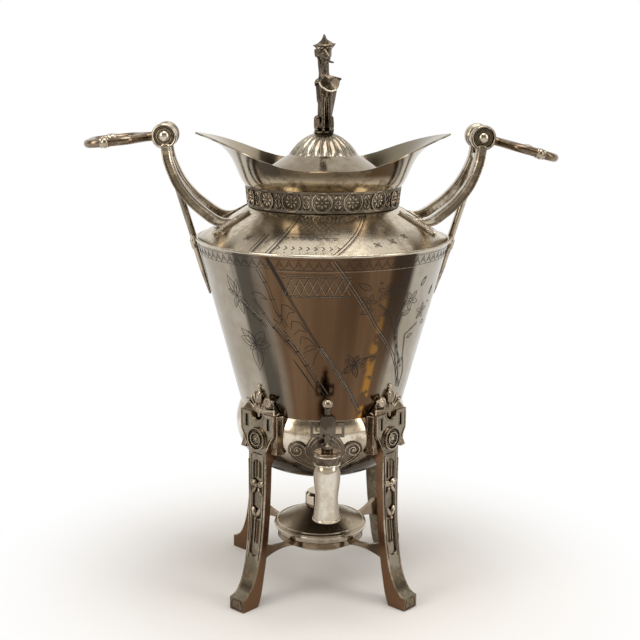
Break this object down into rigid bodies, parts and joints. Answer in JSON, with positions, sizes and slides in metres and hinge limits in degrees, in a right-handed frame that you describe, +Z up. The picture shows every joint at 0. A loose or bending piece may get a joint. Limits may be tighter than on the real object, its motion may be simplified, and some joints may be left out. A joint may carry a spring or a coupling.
{
  "type": "hot water urn",
  "caption": "Footed hot water urn with a flared collar, hinged lid with a seated animal finial, hinged ring handles, key tap and a lift-out spirit lamp.",
  "frame": {"origin": "on the table, under the middle of the urn", "axes": "+Z up the urn's axis, the tap points along -Y, the handles stand out along +X and -X"},
  "size_m": [0.3633, 0.2058, 0.44],
  "materials": {
    "engraved_silver": "silver plated sheet, engraved, worn and lightly tarnished",
    "polished_silver": "silver plated sheet, polished",
    "cast_silver": "silver plated castings, dark in the recesses",
    "bare_fittings": "turned fittings, dull",
    "cotton_wick": "plaited cotton"
  },
  "bodies": {
    "urn": {"body_wall": "engraved_silver", "bowl": "engraved_silver", "shoulder": "engraved_silver", "shoulder_wire": "engraved_silver", "neck_band": "engraved_silver", "collar": "engraved_silver", "lid_seat": "polished_silver", "seat_leaf": "bare_fittings", "hinge_pin": "bare_fittings", "left_arm": "cast_silver", "right_arm": "cast_silver", "left_strut": "cast_silver", "right_strut": "cast_silver", "left_handle_pin": "cast_silver", "right_handle_pin": "cast_silver", "tap_body": "cast_silver", "tap_plate": "cast_silver", "tap_gland": "cast_silver", "cradle_ring": "cast_silver", "leg_front_left": "cast_silver", "leg_front_right": "cast_silver", "leg_back_right": "cast_silver", "leg_back_left": "cast_silver", "rosette_front_left": "cast_silver", "rosette_front_right": "cast_silver", "rosette_back_right": "cast_silver", "rosette_back_left": "cast_silver", "spray_front_left": "cast_silver", "spray_front_right": "cast_silver", "spray_back_right": "cast_silver", "spray_back_left": "cast_silver", "cradle_arm_front_left": "cast_silver", "cradle_arm_front_right": "cast_silver", "cradle_arm_back_right": "cast_silver", "cradle_arm_back_left": "cast_silver"},
    "lid": {"lid_flange": "polished_silver", "lid_dome": "polished_silver", "lid_bezel": "polished_silver", "lid_leaf": "bare_fittings", "finial": "cast_silver", "finial_nut": "bare_fittings"},
    "tap_handle": {"tap_plug": "bare_fittings", "tap_key": "cast_silver"},
    "left_handle": {"left_ring": "cast_silver"},
    "right_handle": {"right_ring": "cast_silver"},
    "lamp": {"lamp_bowl": "polished_silver", "lamp_top": "polished_silver", "burner_collar": "bare_fittings", "wick_tube": "bare_fittings", "wick": "cotton_wick"},
    "snuffer": {"snuffer_cap": "polished_silver"}
  },
  "joints": [
    {"name": "lid_hinge", "type": "hinge", "parent": "urn", "child": "lid", "pos_m": [0, 0.0575, 0.333], "axis": [-1, 0, 0], "range_deg": [0, 100]},
    {"name": "tap_turn", "type": "hinge", "parent": "urn", "child": "tap_handle", "pos_m": [0, -0.095, 0.136], "axis": [0, 0, 1], "continuous": true},
    {"name": "left_handle_swing", "type": "hinge", "parent": "urn", "child": "left_handle", "pos_m": [-0.1218, 0, 0.363], "axis": [0, 1, 0], "range_deg": [-59, 96]},
    {"name": "right_handle_swing", "type": "hinge", "parent": "urn", "child": "right_handle", "pos_m": [0.1218, 0, 0.363], "axis": [0, -1, 0], "range_deg": [-50, 105]},
    {"name": "lamp_lift", "type": "slide", "parent": "urn", "child": "lamp", "axis": [0, 0, 1], "range_m": [0, 0.011]},
    {"name": "snuffer_lift", "type": "slide", "parent": "lamp", "child": "snuffer", "axis": [0, 0, 1], "range_m": [0, 0.009]}
  ]
}
